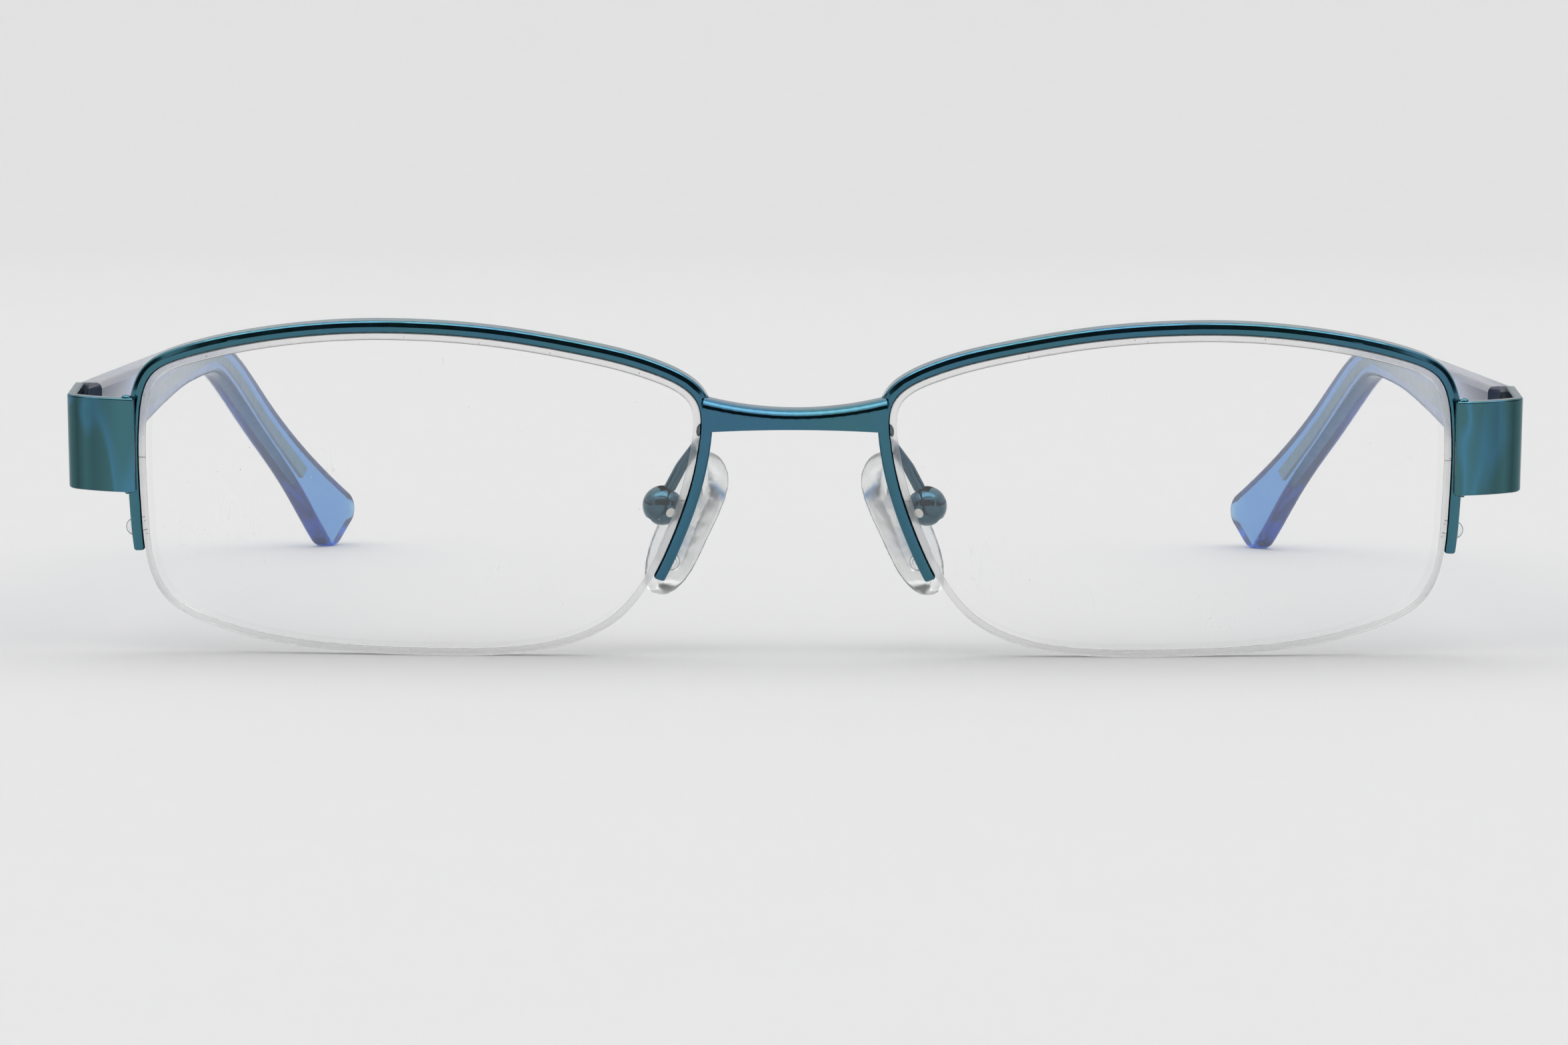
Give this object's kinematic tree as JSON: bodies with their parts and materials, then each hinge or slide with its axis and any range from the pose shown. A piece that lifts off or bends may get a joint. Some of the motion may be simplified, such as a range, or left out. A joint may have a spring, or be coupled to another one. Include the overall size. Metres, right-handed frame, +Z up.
{
  "type": "eyeglasses",
  "caption": "Half-rim metal eyeglasses: clear lenses on nylon cords, soldered bridge, wide bent end pieces, folding blue temples and soft nose pads on screws.",
  "frame": {"origin": "centre of the footprint of the open glasses, on the surface that they stand on", "axes": "+X to the wearer's left, -Y the way the wearer looks, +Y along the open temples, +Z up"},
  "size_m": [0.134, 0.1394, 0.0311],
  "materials": {
    "frame_enamel": "glossy petrol-blue coating over metal, slightly varied in hue",
    "lens_clear": "clear polished lens, both faces curved, matt groove round the edge",
    "clear_liner": "clear extruded strip",
    "nylon_cord": "clear nylon line",
    "hinge_metal": "nickel silver, satin",
    "screw_steel": "bright turned steel",
    "temple_plastic": "polished translucent blue acetate",
    "core_metal": "warm grey core wire inside the temple",
    "pad_silicone": "soft clear silicone, slightly frosted",
    "pad_insert": "clear stiff insert"
  },
  "bodies": {
    "front": {"bridge": "frame_enamel", "left_rim": "frame_enamel", "right_rim": "frame_enamel", "left_end_piece": "frame_enamel", "right_end_piece": "frame_enamel", "left_pad_arm": "frame_enamel", "right_pad_arm": "frame_enamel", "left_pad_box": "frame_enamel", "right_pad_box": "frame_enamel", "left_lens": "lens_clear", "right_lens": "lens_clear", "left_rim_liner": "clear_liner", "right_rim_liner": "clear_liner", "left_lens_cord": "nylon_cord", "right_lens_cord": "nylon_cord", "left_front_hinge": "hinge_metal", "right_front_hinge": "hinge_metal", "left_hinge_screw": "screw_steel", "right_hinge_screw": "screw_steel", "left_pad_screw": "screw_steel", "right_pad_screw": "screw_steel"},
    "left_temple": {"left_temple": "temple_plastic", "left_temple_core": "core_metal", "left_temple_hinge": "hinge_metal", "left_hinge_rivets": "screw_steel"},
    "right_temple": {"right_temple": "temple_plastic", "right_temple_core": "core_metal", "right_temple_hinge": "hinge_metal", "right_hinge_rivets": "screw_steel"},
    "left_nose_pad": {"left_nose_pad": "pad_silicone", "left_pad_insert": "pad_insert"},
    "right_nose_pad": {"right_nose_pad": "pad_silicone", "right_pad_insert": "pad_insert"}
  },
  "joints": [
    {"name": "left_temple_fold", "type": "hinge", "parent": "front", "child": "left_temple", "pos_m": [0.06315, -0.05694, 0.02032], "axis": [0, -0.1392, 0.9903], "range_deg": [0, 86]},
    {"name": "right_temple_fold", "type": "hinge", "parent": "front", "child": "right_temple", "pos_m": [-0.06315, -0.05694, 0.02032], "axis": [0, 0.1392, -0.9903], "range_deg": [0, 81]},
    {"name": "left_pad_rock", "type": "hinge", "parent": "front", "child": "left_nose_pad", "pos_m": [0.01235, -0.05872, 0.01356], "axis": [0.4322, 0.8488, 0.3045], "range_deg": [-10, 10]},
    {"name": "right_pad_rock", "type": "hinge", "parent": "front", "child": "right_nose_pad", "pos_m": [-0.01235, -0.05872, 0.01356], "axis": [-0.4322, 0.8488, 0.3045], "range_deg": [-10, 10]}
  ]
}
